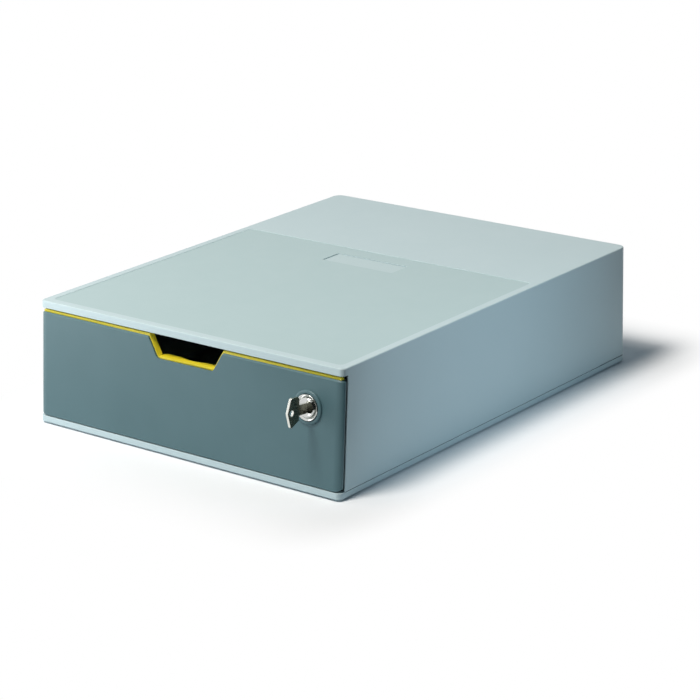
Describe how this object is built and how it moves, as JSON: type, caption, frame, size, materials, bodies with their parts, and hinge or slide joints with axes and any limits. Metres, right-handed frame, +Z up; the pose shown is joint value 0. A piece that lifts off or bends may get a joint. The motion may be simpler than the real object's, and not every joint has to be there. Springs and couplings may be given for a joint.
{
  "type": "desktop file drawer",
  "caption": "Low desktop drawer unit for files, with a leaning slate front, a yellow-lined finger notch and a cam lock with its key.",
  "frame": {"origin": "centre of the casing's footprint, in the plane of the base's underside rim", "axes": "+X to the right seen from the front, +Y to the back, +Z up; the drawer's front faces -Y"},
  "size_m": [0.28, 0.373, 0.092],
  "materials": {
    "shell_grey": "fine satin moulded",
    "plate_grey": "smooth satin",
    "tray_grey": "fine satin moulded",
    "slate_front": "fine satin moulded",
    "yellow_trim": "satin moulded",
    "white_acetal": "smooth",
    "dark_rubber": "matt",
    "zinc_steel": "zinc plated",
    "bright_chrome": "bright nickel or chrome plate",
    "wafer_brass": "plain"
  },
  "bodies": {
    "casing": {"upper_shell": "shell_grey", "base_tray": "shell_grey", "name_plate": "plate_grey", "foot_pads": "dark_rubber", "case_screws": "zinc_steel", "strike_plate": "zinc_steel", "strike_screws": "zinc_steel", "left_runner": "white_acetal", "right_runner": "white_acetal", "rear_bumpers": "dark_rubber"},
    "drawer": {"drawer_tray": "tray_grey", "front_panel": "slate_front", "grip_trim": "yellow_trim", "front_screws": "zinc_steel", "rear_glides": "white_acetal", "lock_housing": "bright_chrome", "lock_washer": "zinc_steel", "lock_nut": "zinc_steel"},
    "lock_plug": {"lock_core": "bright_chrome", "lock_wafers": "wafer_brass", "lock_cam": "zinc_steel", "cam_washer": "zinc_steel", "cam_screw": "zinc_steel"},
    "lock_key": {"key": "bright_chrome"}
  },
  "joints": [
    {"name": "drawer_slide", "type": "slide", "parent": "casing", "child": "drawer", "axis": [0, -1, 0], "range_m": [0, 0.25]},
    {"name": "lock_turn", "type": "hinge", "parent": "drawer", "child": "lock_plug", "pos_m": [0.111, -0.17258, 0.05956], "axis": [0, 0.9959, -0.0906], "range_deg": [0, 90]},
    {"name": "key_pull", "type": "slide", "parent": "lock_plug", "child": "lock_key", "axis": [0, -0.9959, 0.0906], "range_m": [0, 0.028]}
  ]
}
